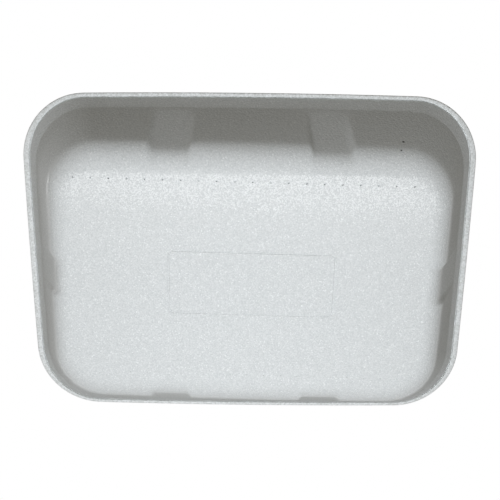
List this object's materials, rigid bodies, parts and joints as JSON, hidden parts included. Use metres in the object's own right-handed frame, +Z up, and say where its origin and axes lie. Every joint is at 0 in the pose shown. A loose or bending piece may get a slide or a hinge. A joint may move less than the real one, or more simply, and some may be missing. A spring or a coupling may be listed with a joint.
{
  "type": "meat tray",
  "caption": "Deep rectangular foam food tray with rounded corners, a narrow rim flange, sloping fluted walls and a flat base, for packing fresh meat.",
  "frame": {"origin": "middle of the base's underside, at the bottom centre of the bounding box", "axes": "+X along the tray's length, +Y along its width, +Z up out of the open mouth"},
  "size_m": [0.3016, 0.2222, 0.0603],
  "materials": {
    "foam": "white extruded polystyrene foam with a satin cell skin"
  },
  "bodies": {
    "root": {"tray": "foam"}
  },
  "joints": []
}
